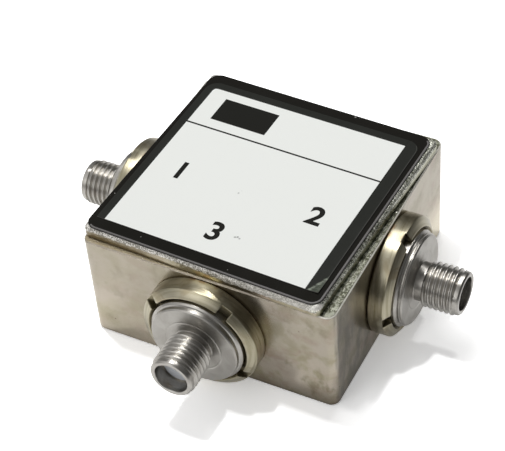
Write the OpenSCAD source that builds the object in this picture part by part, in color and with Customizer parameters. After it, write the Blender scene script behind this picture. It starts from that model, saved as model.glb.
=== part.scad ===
// Coaxial double-balanced mixer: a plated box with three threaded ports and a bonded cover.
// Millimetres. +Z is up, and the origin is the middle of the base.
// The RF port faces -X, the LO port +X and the IF port -Y.

/* [Housing] */
// Length of the box between the two opposite ports
body_w = 36; // [32:0.5:60]
// Length of the box from the front port to the plain back
body_d = 36; // [32:0.5:60]
// Height of the box, without the cover
body_h = 16.8; // [16.8:0.1:24]
// Thickness of the four side walls
wall_t = 3; // [2.5:0.1:3.2]
// Thickness of the floor
floor_t = 1; // [0.6:0.1:1]
// Radius of the upright outer edges
body_corner_r = 1.3; // [1:0.1:2.5]
// Rounding of the edge round the base
base_edge_r = 0.5; // [0.2:0.1:0.8]
// Chamfer of the outer edge round the rim
rim_chamfer = 0.2; // [0.1:0.05:0.5]
// Radius of the upright edges of the cavity
cavity_corner_r = 2; // [1:0.1:2.5]

/* [Cover] */
// Inset of the cover from the box's sides, before its turn and shift
cover_inset = 0.8; // [0.3:0.05:1.5]
// Thickness of the cover
cover_t = 1.6; // [1:0.1:2.5]
// Radius of the cover's corners
cover_corner_r = 0.9; // [0.9:0.1:3]
// Rounding of the cover's upper edge
cover_edge_r = 0.6; // [0.2:0.1:0.9]
// Turn of the cover on the box, clockwise from above
cover_turn = 2.1; // [0:0.1:2.5]
// Shift of the cover towards the RF port
cover_shift_x = 0.29; // [0:0.01:0.5]
// Shift of the cover towards the IF port
cover_shift_y = 0.51; // [0:0.01:0.6]
// Thickness of the solder film under the cover
solder_t = 0.12; // [0.05:0.01:0.3]
// Width of the solder film on the rim
solder_w = 1; // [0.5:0.1:1.1]

/* [Labels] */
// Inset of the backing film from the cover's sides
film_inset = 0.45; // [0.4:0.05:2]
// Thickness of each label
film_t = 0.12; // [0.08:0.01:0.2]
// Radius of the backing film's corners
film_corner_r = 1.6; // [0.5:0.1:3]
// Inset of the printed label from the backing film's left and right sides
print_side_inset = 0.42; // [0.4:0.02:6]
// Inset of the printed label from the backing film's front and back sides
print_end_inset = 1.65; // [1.2:0.05:6]
// Radius of the printed label's two back corners
print_corner_r = 1.8; // [0.5:0.1:4]
// Turn of the printed label, clockwise from above
print_turn = 2.1; // [0:0.1:2.5]
// Shift of the backing film from the cover's middle, to the RF port
film_shift_x = 0.02; // [-0.3:0.01:0.3]
// Shift of the backing film from the cover's middle, to the back
film_shift_y = 0.12; // [-0.3:0.01:0.3]
// Shift of the printed label from the cover's middle, to the RF port
print_shift_x = 0.33; // [0:0.01:0.4]
// Shift of the printed label from the cover's middle, to the back
print_shift_y = 0.08; // [0:0.01:0.3]

/* [Ports] */
// Length of a jack from the wall to its mouth
jack_reach = 10.2; // [9:0.1:14]
// Length from the wall to the face of the jack's end disc
disc_reach = 3.5; // [3.3:0.05:4]
// Radius of the shank that passes through the wall
shank_r = 6.65; // [6:0.05:6.8]
// Chamfer of the end disc
disc_chamfer = 0.38; // [0.1:0.02:0.6]
// Radius of the shoulder inside the wall
shoulder_r = 7.3; // [7.1:0.05:7.4]
// Thickness of the shoulder
shoulder_t = 1.2; // [0.8:0.1:1.3]
// Radius of the neck behind the thread
neck_r = 2.65; // [2.5:0.05:2.9]
// Length of the neck
neck_len = 1.5; // [1:0.1:2]
// Outer radius of the thread
thread_r = 3.175; // [3.1:0.005:3.3]
// Length of the thread, with its chamfer
thread_len = 4.1; // [3.5:0.1:4.2]
// Chamfer at the back of the thread
thread_chamfer = 0.25; // [0.1:0.01:0.4]
// Radius of the plain lead in front of the thread
lead_r = 3; // [2.9:0.02:3.08]
// Outer radius of the mouth's rim
mouth_rim_r = 2.79; // [2.6:0.01:2.88]
// Radius of the mouth
mouth_r = 2.31; // [2.2:0.01:2.4]
// Depth of the mouth to the insulator
mouth_depth = 1.93; // [1.5:0.01:2.5]
// Chamfer inside the mouth's rim
mouth_chamfer = 0.1; // [0.05:0.01:0.2]

/* [Ring nuts] */
// Radius of a ring nut
nut_r = 8.3; // [7.9:0.05:8.35]
// Thickness of a ring nut
nut_t = 3; // [2.6:0.05:3.2]
// Length of the bevel at the front of a ring nut
nut_bevel = 0.7; // [0.3:0.05:1]
// Radius at the front edge of a ring nut
nut_lip_r = 7.25; // [7.2:0.05:7.6]
// Chamfer at the back of a ring nut
nut_back_chamfer = 0.25; // [0.1:0.05:0.5]
// Chamfer of a ring nut's thread
nut_thread_chamfer = 0.4; // [0.1:0.05:0.45]
// Number of spanner slots
slot_count = 4; // [2:1:8]
// Width of a spanner slot
slot_w = 1.6; // [1:0.1:2]
// Depth of a spanner slot from the front
slot_depth = 0.85; // [0.4:0.05:1.2]
// Angle at which the LO ring nut stopped
lo_nut_turn = 8; // [0:1:89]
// Angle at which the IF ring nut stopped
if_nut_turn = 57; // [0:1:89]
// Angle at which the RF ring nut stopped
rf_nut_turn = 30; // [0:1:89]

/* [Insulators and contacts] */
// Radius of an insulator
insulator_r = 2.05; // [1.8:0.01:2.1]
// Radius of a contact
contact_r = 0.635; // [0.6:0.005:0.65]
// Radius of a contact's socket
socket_r = 0.47; // [0.4:0.01:0.5]
// Depth of a contact's socket
socket_depth = 2.6; // [1.5:0.1:3]
// Distance of a contact's tip behind the insulator's face
contact_recess = 0.1; // [0:0.02:0.3]
// Width of the slits in a contact
slit_w = 0.2; // [0.1:0.02:0.3]
// Length of the slits in a contact
slit_len = 1.8; // [1:0.1:2.5]
// Radius of a contact's tail
tail_r = 0.4; // [0.3:0.02:0.5]
// Length of a contact's tail over the board
tail_len = 4; // [3:0.1:5]

/* [Board] */
// Thickness of the circuit board
board_t = 1.5; // [0.8:0.1:1.6]
// Radius of a screw boss
boss_r = 1.9; // [1.7:0.1:2.2]
// Radius of a screw's thread
screw_r = 0.8; // [0.6:0.05:1]
// Length of a screw under its head
screw_len = 5; // [3.5:0.1:5.5]
// Radius of a screw's head
screw_head_r = 1.55; // [1.4:0.05:1.7]
// Height of a screw's head
screw_head_t = 1.1; // [0.8:0.1:1.4]
// Width of the slot in a screw's head
screw_slot_w = 0.4; // [0.3:0.05:0.6]
// Depth of the slot in a screw's head
screw_slot_depth = 0.5; // [0.3:0.05:0.6]
// Radius of a solder joint
joint_r = 1.1; // [0.9:0.05:1.3]

/* [Transformers and diodes] */
// Width of a transformer's core, across its two holes
core_w = 5.2; // [5:0.1:6]
// Length of a core along its holes
core_len = 4.6; // [4:0.1:5]
// Height of a core
core_h = 3; // [2.6:0.1:3.4]
// Radius of a core's holes
core_hole_r = 0.6; // [0.5:0.05:0.65]
// Distance between a core's holes
core_pitch = 2.4; // [2.2:0.1:2.6]
// Radius of a bundle of winding wires
winding_r = 0.42; // [0.3:0.01:0.45]
// Radius of a winding's wire ends
wire_r = 0.16; // [0.1:0.01:0.2]
// Length of the square diode package
quad_w = 3.2; // [2.6:0.1:3.6]
// Height of the diode package
quad_h = 1.2; // [0.8:0.1:1.6]
// Width of a diode lead
lead_w = 0.6; // [0.4:0.05:0.8]
// Thickness of a diode lead
lead_t = 0.15; // [0.1:0.01:0.2]
// Length of a diode lead outside the package
lead_len = 1.4; // [1:0.1:1.8]

/* [Clearances] */
// Radial clearance of threads and of the shank in the wall
thread_clear = 0.05; // [0.02:0.01:0.1]
// Radial clearance of the insulator in the jack and round its contact
insulator_clear = 0.02; // [0.01:0.01:0.05]
// Radial clearance of a screw in the board
screw_clear = 0.15; // [0.1:0.05:0.3]
// Gap between the board and the ends of the jacks
board_clear = 0.3; // [0.2:0.05:0.5]
// Gap between a contact's tail and the board
tail_clear = 0.1; // [0.05:0.01:0.15]
// Gap between the transformers and their neighbours
balun_gap = 0.8; // [0.3:0.1:1.5]

/* [Hidden] */

// Small overlap that keeps a cut clean
eps = 0.01;
$fn = 64;

// Ports lie at mid-height: the RF port looks back along X, the LO port along X, the IF port to the front
port_z = body_h / 2;
RF = [180, body_w / 2];
LO = [0, body_w / 2];
IF = [-90, body_d / 2];

cavity_w = body_w - 2 * wall_t;
cavity_d = body_d - 2 * wall_t;
cover_w = body_w - 2 * cover_inset;
cover_d = body_d - 2 * cover_inset;
film_w = cover_w - 2 * film_inset;
film_d = cover_d - 2 * film_inset;
print_w = film_w - 2 * print_side_inset;
print_d = film_d - 2 * print_end_inset;
jack_inner = -wall_t - shoulder_t;
thread_start = disc_reach + neck_len;
thread_end = thread_start + thread_len;
insulator_face = jack_reach - mouth_depth;
contact_tip = insulator_face - contact_recess;
lip_bore_r = shank_r + thread_clear + nut_thread_chamfer;

board_w = body_w + 2 * jack_inner - 2 * board_clear;
board_d = body_d + 2 * jack_inner - 2 * board_clear;
board_top = port_z - tail_r - tail_clear;
board_bottom = board_top - board_t;
boss_x = cavity_w / 2 - boss_r - shoulder_t;
boss_y = cavity_d / 2 - boss_r - shoulder_t;
balun_x = quad_w / 2 + lead_len + balun_gap + core_w / 2;
winding_reach = core_len / 2 + core_pitch / 2 + winding_r;
balun_y = tail_r + balun_gap + winding_reach;
cover_bottom = body_h + solder_t;
film_bottom = cover_bottom + cover_t;

// Sends a shape to the four corners of a rectangle
module at_corners(w, d) {
    for (x = [-w / 2, w / 2], y = [-d / 2, d / 2]) translate([x, y, 0]) children();
}

// Sends a shape that looks along +Z to a port, with its zero on the wall's outer face
module at_port(port) {
    rotate([0, 0, port[0]]) translate([port[1], 0, port_z]) rotate([0, 90, 0]) children();
}

// Straight block with round upright edges, standing on zero
module round_block(w, d, h, r) {
    at_corners(w - 2 * r, d - 2 * r) cylinder(r = r, h = h);
    translate([-w / 2, -d / 2 + r, 0]) cube([w, d - 2 * r, h]);
    translate([-w / 2 + r, -d / 2, 0]) cube([w - 2 * r, d, h]);
}

// Block with round upright edges whose upper edge is rounded by e
module soft_plate(w, d, h, r, e) {
    round_block(w, d, h - e, r);
    round_block(w - 2 * e, d - 2 * e, h, r - e);
    at_corners(w - 2 * r, d - 2 * r) translate([0, 0, h - e]) rotate_extrude()
        intersection() {
            translate([r - e, 0]) circle(e);
            square([r, e]);
        }
    for (y = [-d / 2 + e, d / 2 - e]) translate([-w / 2 + r, y, h - e])
        rotate([0, 90, 0]) cylinder(r = e, h = w - 2 * r);
    for (x = [-w / 2 + e, w / 2 - e]) translate([x, -d / 2 + r, h - e])
        rotate([-90, 0, 0]) cylinder(r = e, h = d - 2 * r);
}

// Slice with round upright edges that narrows upwards by c on each side
module bevelled_slice(w, d, r, c) {
    at_corners(w - 2 * r, d - 2 * r) cylinder(r1 = r, r2 = r - c, h = c);
    translate([0, d / 2 - r, 0]) rotate([90, 0, 0]) linear_extrude(d - 2 * r)
        polygon([[-w / 2, 0], [w / 2, 0], [w / 2 - c, c], [-w / 2 + c, c]]);
    translate([-w / 2 + r, 0, 0]) rotate([90, 0, 90]) linear_extrude(w - 2 * r)
        polygon([[-d / 2, 0], [d / 2, 0], [d / 2 - c, c], [-d / 2 + c, c]]);
}

module housing() {
    side_h = body_h - rim_chamfer;
    color("#b9b3a8") {
        difference() {
            union() {
                translate([0, 0, side_h]) mirror([0, 0, 1])
                    soft_plate(body_w, body_d, side_h, body_corner_r, base_edge_r);
                translate([0, 0, side_h]) bevelled_slice(body_w, body_d, body_corner_r, rim_chamfer);
            }
            translate([0, 0, floor_t])
                round_block(cavity_w, cavity_d, body_h, cavity_corner_r);
            for (port = [RF, LO, IF]) at_port(port) translate([0, 0, -wall_t - eps])
                cylinder(r = shank_r + thread_clear, h = wall_t + 2 * eps);
        }
        boss_h = board_bottom - floor_t;
        at_corners(2 * boss_x, 2 * boss_y) translate([0, 0, floor_t]) difference() {
            cylinder(r = boss_r, h = boss_h);
            cylinder(r = screw_r + thread_clear, h = boss_h + eps);
        }
    }
}

module cover_solder() {
    color("#8e8a80") translate([0, 0, body_h]) difference() {
        round_block(cavity_w + 2 * solder_w, cavity_d + 2 * solder_w, solder_t,
                    cavity_corner_r + solder_w);
        translate([0, 0, -eps])
            round_block(cavity_w, cavity_d, solder_t + 2 * eps, cavity_corner_r);
    }
}

// Sends a shape to the middle of the cover, at height z
module on_cover(z) {
    translate([-cover_shift_x, -cover_shift_y, z]) children();
}

module cover() {
    color("#bdb8ac") on_cover(cover_bottom) rotate([0, 0, -cover_turn])
        soft_plate(cover_w, cover_d, cover_t, cover_corner_r, cover_edge_r);
}

module backing_label() {
    color("#1c1d1b") on_cover(film_bottom) rotate([0, 0, -cover_turn])
        translate([-film_shift_x, film_shift_y, 0])
            round_block(film_w, film_d, film_t, film_corner_r);
}

// The front corners are square, where the label was cut off
module printed_label() {
    color("#e9ebe6") on_cover(film_bottom + film_t) translate([-print_shift_x, print_shift_y, 0])
        rotate([0, 0, -print_turn]) {
            round_block(print_w, print_d, film_t, print_corner_r);
            translate([-print_w / 2, -print_d / 2, 0]) cube([print_w, print_d / 2, film_t]);
        }
}

// One turned piece: shoulder, shank, end disc, neck, thread, lead and mouth
module jack_body() {
    bore_r = insulator_r + insulator_clear;
    color("#a9a8a8") rotate_extrude() polygon([
        [bore_r, jack_inner],
        [shoulder_r, jack_inner],
        [shoulder_r, -wall_t],
        [shank_r, -wall_t],
        [shank_r, disc_reach - disc_chamfer],
        [shank_r - disc_chamfer, disc_reach],
        [neck_r, disc_reach],
        [neck_r, thread_start],
        [thread_r - thread_chamfer, thread_start],
        [thread_r, thread_start + thread_chamfer],
        [thread_r, thread_end],
        [lead_r, thread_end],
        [mouth_rim_r, jack_reach],
        [mouth_r + mouth_chamfer, jack_reach],
        [mouth_r, jack_reach - mouth_chamfer],
        [mouth_r, insulator_face],
        [bore_r, insulator_face]
    ]);
}

// Bevelled ring, tightened against the wall by its spanner slots
module ring_nut(turn) {
    bore_r = shank_r + thread_clear;
    color("#b7ae93") difference() {
        rotate_extrude() polygon([
            [bore_r, 0],
            [nut_r - nut_back_chamfer, 0],
            [nut_r, nut_back_chamfer],
            [nut_r, nut_t - nut_bevel],
            [nut_lip_r, nut_t],
            [lip_bore_r, nut_t],
            [bore_r, nut_t - nut_thread_chamfer]
        ]);
        for (i = [0:slot_count - 1]) rotate([0, 0, turn + i * 360 / slot_count])
            translate([0, -slot_w / 2, nut_t - slot_depth])
                cube([nut_r + eps, slot_w, slot_depth + eps]);
    }
}

module insulator() {
    color("#e6e4de") translate([0, 0, jack_inner]) difference() {
        cylinder(r = insulator_r, h = insulator_face - jack_inner);
        translate([0, 0, -eps]) cylinder(r = contact_r + insulator_clear,
                                         h = insulator_face - jack_inner + 2 * eps);
    }
}

// Pin with a slit socket at the mouth and a thinner tail over the board
module contact() {
    color("#d8ac4c") difference() {
        union() {
            translate([0, 0, jack_inner]) cylinder(r = contact_r, h = contact_tip - jack_inner);
            translate([0, 0, jack_inner - tail_len]) cylinder(r = tail_r, h = tail_len + eps);
        }
        translate([0, 0, contact_tip - socket_depth]) cylinder(r = socket_r, h = socket_depth + eps);
        for (turn = [0, 90]) rotate([0, 0, turn])
            translate([-contact_r - eps, -slit_w / 2, contact_tip - slit_len])
                cube([2 * (contact_r + eps), slit_w, slit_len + eps]);
    }
}

module rf_jack() at_port(RF) jack_body();
module rf_ring_nut() at_port(RF) ring_nut(rf_nut_turn);
module rf_insulator() at_port(RF) insulator();
module rf_contact() at_port(RF) contact();
module lo_jack() at_port(LO) jack_body();
module lo_ring_nut() at_port(LO) ring_nut(lo_nut_turn);
module lo_insulator() at_port(LO) insulator();
module lo_contact() at_port(LO) contact();
module if_jack() at_port(IF) jack_body();
module if_ring_nut() at_port(IF) ring_nut(if_nut_turn);
module if_insulator() at_port(IF) insulator();
module if_contact() at_port(IF) contact();

module circuit_board() {
    color("#3f6b4a") translate([0, 0, board_bottom]) difference() {
        translate([-board_w / 2, -board_d / 2, 0]) cube([board_w, board_d, board_t]);
        at_corners(2 * boss_x, 2 * boss_y) translate([0, 0, -eps])
            cylinder(r = screw_r + screw_clear, h = board_t + 2 * eps);
    }
}

module board_screws() {
    color("#c9b98a") at_corners(2 * boss_x, 2 * boss_y) translate([0, 0, board_top]) difference() {
        union() {
            cylinder(r = screw_head_r, h = screw_head_t);
            translate([0, 0, -screw_len]) cylinder(r = screw_r, h = screw_len + eps);
        }
        translate([-screw_head_r, -screw_slot_w / 2, screw_head_t - screw_slot_depth])
            cube([2 * screw_head_r, screw_slot_w, screw_slot_depth + eps]);
    }
}

// Domes of solder over the contacts' tails, flat on the board
module contact_solder() {
    color("#b4b4b0") for (port = [RF, LO, IF]) at_port(port)
        translate([0, 0, jack_inner - tail_len / 2]) difference() {
            intersection() {
                translate([port_z - board_top, 0, 0]) sphere(joint_r);
                translate([port_z - board_top - 2 * joint_r, -joint_r, -joint_r]) cube(2 * joint_r);
            }
            translate([0, 0, -joint_r - eps]) cylinder(r = tail_r, h = 2 * (joint_r + eps));
        }
}

// Ferrite block with two holes along Y, standing on the board
module balun_core(x) {
    color("#4a4744") translate([x, balun_y, board_top]) difference() {
        translate([-core_w / 2, -core_len / 2, 0]) cube([core_w, core_len, core_h]);
        for (dx = [-core_pitch / 2, core_pitch / 2])
            translate([dx, -core_len / 2 - eps, core_h / 2]) rotate([-90, 0, 0])
                cylinder(r = core_hole_r, h = core_len + 2 * eps);
    }
}

// Bundle of twisted wires through both holes, with its ends bent down to the board
module balun_winding(x) {
    color("#9c5a2c") translate([x, balun_y, board_top + core_h / 2]) {
        for (dx = [-core_pitch / 2, core_pitch / 2])
            translate([dx, -core_len / 2, 0]) rotate([-90, 0, 0])
                cylinder(r = winding_r, h = core_len);
        for (side = [0, 180]) rotate([0, 0, side]) translate([0, core_len / 2, 0]) {
            rotate_extrude(angle = 180) translate([core_pitch / 2, 0]) circle(winding_r);
            for (a = [45, 90, 135])
                translate([core_pitch / 2 * cos(a), core_pitch / 2 * sin(a), -core_h / 2])
                    cylinder(r = wire_r, h = core_h / 2);
        }
    }
}

module rf_balun_core() balun_core(-balun_x);
module rf_balun_winding() balun_winding(-balun_x);
module lo_balun_core() balun_core(balun_x);
module lo_balun_winding() balun_winding(balun_x);

module diode_quad() {
    color("#2c2a2b") translate([-quad_w / 2, balun_y - quad_w / 2, board_top])
        cube([quad_w, quad_w, quad_h]);
}

module diode_leads() {
    color("#c8a350") translate([0, balun_y, board_top]) for (turn = [0:90:270])
        rotate([0, 0, turn]) translate([quad_w / 2, -lead_w / 2, 0]) cube([lead_len, lead_w, lead_t]);
}

housing();
cover_solder();
cover();
backing_label();
printed_label();
rf_jack();
rf_ring_nut();
rf_insulator();
rf_contact();
lo_jack();
lo_ring_nut();
lo_insulator();
lo_contact();
if_jack();
if_ring_nut();
if_insulator();
if_contact();
circuit_board();
board_screws();
contact_solder();
rf_balun_core();
rf_balun_winding();
lo_balun_core();
lo_balun_winding();
diode_quad();
diode_leads();
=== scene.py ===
# %% [markdown]
# # Dressing a coaxial mixer
# The object is a nickel-plated box, 36 mm square, with three threaded ports, a soldered cover and two
# labels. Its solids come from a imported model, which this lesson never moves. What is added here is what a
# camera sees: threads, worn edges, rough plating, turned steel, black film and a printed label.
# Blender measures in metres, so a length of the part is written as a number times MM. Only the finishes,
# which are read on the surface itself, measure in plain millimetres.

import math

import bmesh
import bpy
import numpy as np
from mathutils import Matrix, Vector, noise


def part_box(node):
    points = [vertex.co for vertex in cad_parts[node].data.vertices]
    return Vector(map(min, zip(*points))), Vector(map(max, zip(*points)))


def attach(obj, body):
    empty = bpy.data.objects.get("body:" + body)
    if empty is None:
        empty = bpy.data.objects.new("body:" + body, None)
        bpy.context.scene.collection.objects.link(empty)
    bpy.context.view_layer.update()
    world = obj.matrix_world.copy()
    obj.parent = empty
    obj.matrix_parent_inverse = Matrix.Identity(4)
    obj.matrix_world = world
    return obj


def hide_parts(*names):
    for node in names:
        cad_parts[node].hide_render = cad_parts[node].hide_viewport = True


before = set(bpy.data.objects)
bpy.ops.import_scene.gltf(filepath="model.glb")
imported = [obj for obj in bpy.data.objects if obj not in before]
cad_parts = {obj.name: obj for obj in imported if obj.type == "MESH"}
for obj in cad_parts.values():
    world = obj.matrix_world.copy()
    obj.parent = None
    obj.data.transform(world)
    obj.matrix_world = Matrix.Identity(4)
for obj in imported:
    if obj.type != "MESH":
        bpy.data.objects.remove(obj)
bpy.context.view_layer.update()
MM = 0.001
print("solids loaded:", len(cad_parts))

# %% [markdown]
# ## Where things are
# The frame says where each solid lies, so places are read from it and not typed again. A port is easiest
# to build standing up, with its axis along +Z and its zero on the wall. One matrix for each port then lays
# it down.

# %% Read the places of the walls, the ports and the labels
case_low, case_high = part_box("housing")
cover_low, cover_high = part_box("cover")
film_low, film_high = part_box("backing_label")
print_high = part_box("printed_label")[1]
jack_low, jack_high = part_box("if_jack")
port_height = (jack_low.z + jack_high.z) / 2


def port_place(turn, reach):
    """Lays a shape that stands on zero along the axis of a port that looks out at that turn, in degrees."""
    upright = Matrix.Translation((reach, 0, port_height)) @ Matrix.Rotation(math.radians(90), 4, "Y")
    return Matrix.Rotation(math.radians(turn), 4, "Z") @ upright


ports = {
    "rf": port_place(180, case_high.x),
    "lo": port_place(0, case_high.x),
    "if": port_place(-90, case_high.y),
}
print("port axes at height", round(port_height / MM, 2), "mm")

# %% [markdown]
# ## The camera
# The photograph looks down at 44 degrees from the front right, through a long lens, and leans a little.
# Its place was found by fitting a pinhole camera to the edges of the box, the labels and the rings of the
# ports. A camera's own axes are the columns of its matrix: right, up and back.

# %% Place the camera
CAMERA_TURN = math.radians(30.29)
CAMERA_RISE = math.radians(44.144)
CAMERA_LEAN = math.radians(-5.176)
CAMERA_OFFSET = Vector((2.869, -7.178, -239.939)) * MM
FOCAL_PIXELS = 1722.366
IMAGE_WIDTH = 505
SENSOR_WIDTH = 36

back = Vector((math.sin(CAMERA_TURN) * math.cos(CAMERA_RISE),
               -math.cos(CAMERA_TURN) * math.cos(CAMERA_RISE), math.sin(CAMERA_RISE)))
level = Vector((math.cos(CAMERA_TURN), math.sin(CAMERA_TURN), 0))
upward = back.cross(level)
right = level * math.cos(CAMERA_LEAN) + upward * math.sin(CAMERA_LEAN)
up = upward * math.cos(CAMERA_LEAN) - level * math.sin(CAMERA_LEAN)
turned = Matrix((right, up, back)).transposed()

lens = bpy.data.cameras.new("camera")
lens.sensor_width = SENSOR_WIDTH
lens.lens = FOCAL_PIXELS * SENSOR_WIDTH / IMAGE_WIDTH
lens.clip_start = 10 * MM
camera = bpy.data.objects.new("camera", lens)
bpy.context.scene.collection.objects.link(camera)
camera.matrix_world = Matrix.Translation(turned @ -CAMERA_OFFSET) @ turned.to_4x4()
bpy.context.scene.camera = camera
bpy.context.scene.view_settings.view_transform = "Standard"
print("camera at", [round(x / MM, 1) for x in camera.location], "lens", round(lens.lens, 1), "mm")

# %% [markdown]
# ## Writing materials as sums
# A material is a tree of nodes, which is hard to read as a list of links. Here a socket is wrapped in a
# small class, so that 1 - mask * 0.5 adds its own Math nodes. Every other node comes from one method, which
# takes the node's type, its settings and what goes into its sockets.

# %% Wrap a socket
class Wire:
    """The output of a node, with the sums that are used on it."""

    def __init__(self, finish, socket):
        self.finish = finish
        self.socket = socket

    def sum(self, operation, first, second):
        return self.finish.node("ShaderNodeMath", {"operation": operation}, {0: first, 1: second})

    def __add__(self, other):
        return self.sum("ADD", self, other)

    def __radd__(self, other):
        return self.sum("ADD", other, self)

    def __sub__(self, other):
        return self.sum("SUBTRACT", self, other)

    def __rsub__(self, other):
        return self.sum("SUBTRACT", other, self)

    def __mul__(self, other):
        return self.sum("MULTIPLY", self, other)

    def __rmul__(self, other):
        return self.sum("MULTIPLY", other, self)

    def most(self, other):
        """The greater of the two."""
        return self.sum("MAXIMUM", self, other)


print("operators on sockets: + - *")

# %% [markdown]
# ## A finish
# A finish is one material, or the room, while it is being made. It knows a few things that every surface
# here needs: places on the object, noise of a given grain, a soft step from 0 to 1, a blend of two tones,
# and height that becomes bump. Noise is measured on the object itself, so a blotch keeps its size on every
# piece. All lengths in a finish are millimetres, and a tone is a colour or its name in the table of tones.

# %% Build finishes
TONES = {}


class Finish:
    """One material, or one world, in the making."""

    def __init__(self, name, kind=bpy.data.materials):
        self.made = kind.new(name)
        self.made.use_nodes = True
        self.tree = self.made.node_tree
        self.tree.nodes.clear()
        metres = self.node("ShaderNodeTexCoord", result="Object")
        self.place = self.vector("MULTIPLY", metres, (1 / MM, 1 / MM, 1 / MM))

    def node(self, kind, settings=None, sockets=None, result=0):
        """Adds a node: first its settings, then the values or links of its sockets. Returns one output."""
        node = self.tree.nodes.new(kind)
        for name, value in (settings or {}).items():
            setattr(node, name, value)
        for name, value in (sockets or {}).items():
            if isinstance(value, Wire):
                self.tree.links.new(value.socket, node.inputs[name])
            else:
                node.inputs[name].default_value = value
        return Wire(self, node.outputs[result])

    def vector(self, operation, first, second):
        """An operation on two vectors."""
        return self.node("ShaderNodeVectorMath", {"operation": operation}, {0: first, 1: second})

    def length(self, vector):
        """The length of a vector."""
        return self.node("ShaderNodeVectorMath", {"operation": "LENGTH"}, {0: vector}, "Value")

    def part(self, axis):
        """One coordinate of the place on the object, such as X."""
        return self.node("ShaderNodeSeparateXYZ", None, {0: self.place}, axis)

    def stretched(self, x, y, z):
        """The place on the object, stretched along each axis."""
        return self.vector("MULTIPLY", self.place, (x, y, z))

    def noise(self, grain, detail=3, rough=0.5, place=None, twist=0):
        """Noise from about 0.3 to 0.7, whose lumps are about a grain across."""
        sockets = {"Vector": place or self.place, "Scale": 1 / grain, "Detail": detail,
                   "Roughness": rough, "Distortion": twist}
        return self.node("ShaderNodeTexNoise", None, sockets)

    def wander(self, reach, grain, detail=3, rough=0.5):
        """A length that wanders on both sides of zero, for a ragged border."""
        return (self.noise(grain, detail, rough) - 0.5) * reach

    def step(self, value, start, end, low=0.0, high=1.0, form="SMOOTHSTEP"):
        """A step from low to high as value goes from start to end, soft unless its form is LINEAR."""
        sockets = {"Value": value, "From Min": start, "From Max": end, "To Min": low, "To Max": high}
        return self.node("ShaderNodeMapRange", {"interpolation_type": form}, sockets)

    def blend(self, share, first, second):
        """A colour between two tones."""
        tones = [TONES[tone] if isinstance(tone, str) else tone for tone in (first, second)]
        colours = [(*tone, 1) if isinstance(tone, tuple) else tone for tone in tones]
        sockets = {0: share, 6: colours[0], 7: colours[1]}
        return self.node("ShaderNodeMix", {"data_type": "RGBA"}, sockets, 2)

    def over(self, colour, *layers):
        """Lays tones over a colour, one after another, each as far as its mask goes."""
        for tone, mask in layers:
            colour = self.blend(mask, colour, tone)
        return colour

    def spot(self, x, y, radius):
        """A mask that is 1 inside a ragged spot at a place, seen from above."""
        offset = self.vector("SUBTRACT", self.place, (x, y, 0))
        away = self.length(self.vector("MULTIPLY", offset, (1, 1, 0)))
        return self.step(away + self.wander(radius, radius * 0.8, 2, 0.6), radius, radius * 0.6)

    def bump(self, height, depth, under=None):
        """A surface that rises by depth where height goes from 0 to 1."""
        sockets = {"Height": height, "Distance": depth * MM, "Strength": 1.0}
        if under:
            sockets["Normal"] = under
        return self.node("ShaderNodeBump", None, sockets)

    def surface(self, **sockets):
        """The shader itself. Names with an underscore stand for sockets with a space."""
        plain = {name.replace("_", " "): value for name, value in sockets.items()}
        return self.shown(self.node("ShaderNodeBsdfPrincipled", None, plain))

    def shown(self, shader, output="ShaderNodeOutputMaterial"):
        """Ends the tree with that shader and returns what was made."""
        surface = self.tree.nodes.new(output).inputs["Surface"]
        self.tree.links.new(shader.socket, surface)
        return self.made


print("finishes ready")

# %% [markdown]
# ## Floor and light
# The object was photographed on a white sheet. Its shadows tell of two lamps, since each shadow has a sharp
# outline on one side and fades out on the other. A small lamp hangs high above, a little to the left and
# behind, and gives half of the light: for each millimetre of height its shadow reaches a quarter of a
# millimetre to the right and a bit less to the front. A broad panel farther back leaves only the core of
# each shadow dark. The highlights tell of a third lamp, far behind, which is the weakest and draws the thin
# bright line along the front port and its ring nut.
# The sheet is a plain white floor. The photograph shows it overexposed, so that only the core of each
# shadow is left and stays pale. For the camera the sheet therefore gives back more light, from a second
# coat of white and a glow, while it throws no more light on the object. Metal mirrors a part of that glow
# too. The sheet was small: in the bevels of the ring nuts it goes dark some way out, so for mirrored rays
# it fades with the distance.

# %% Lay the floor
FLOOR_SIZE = 1.6
FLOOR_DROP = 0.02 * MM
FLOOR_WHITE = (0.88, 0.88, 0.88, 1)
FLOOR_EXTRA = (0.52, 0.52, 0.52, 1)
TABLE_GREY = (0.22, 0.22, 0.22, 1)
FLOOR_GLOW = 0.31
MIRRORED_GLOW = 0.45
SHEET_MIDDLE = (-30, 0, 0)
SHEET_FADE = 45
SHEET_END = 130

half_floor = FLOOR_SIZE / 2
floor_corners = [(x * half_floor, y * half_floor, case_low.z - FLOOR_DROP)
                 for x, y in ((-1, -1), (1, -1), (1, 1), (-1, 1))]
floor_mesh = bpy.data.meshes.new("floor")
floor_mesh.from_pydata(floor_corners, [], [(0, 1, 2, 3)])
floor = bpy.data.objects.new("floor", floor_mesh)
bpy.context.scene.collection.objects.link(floor)

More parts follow.
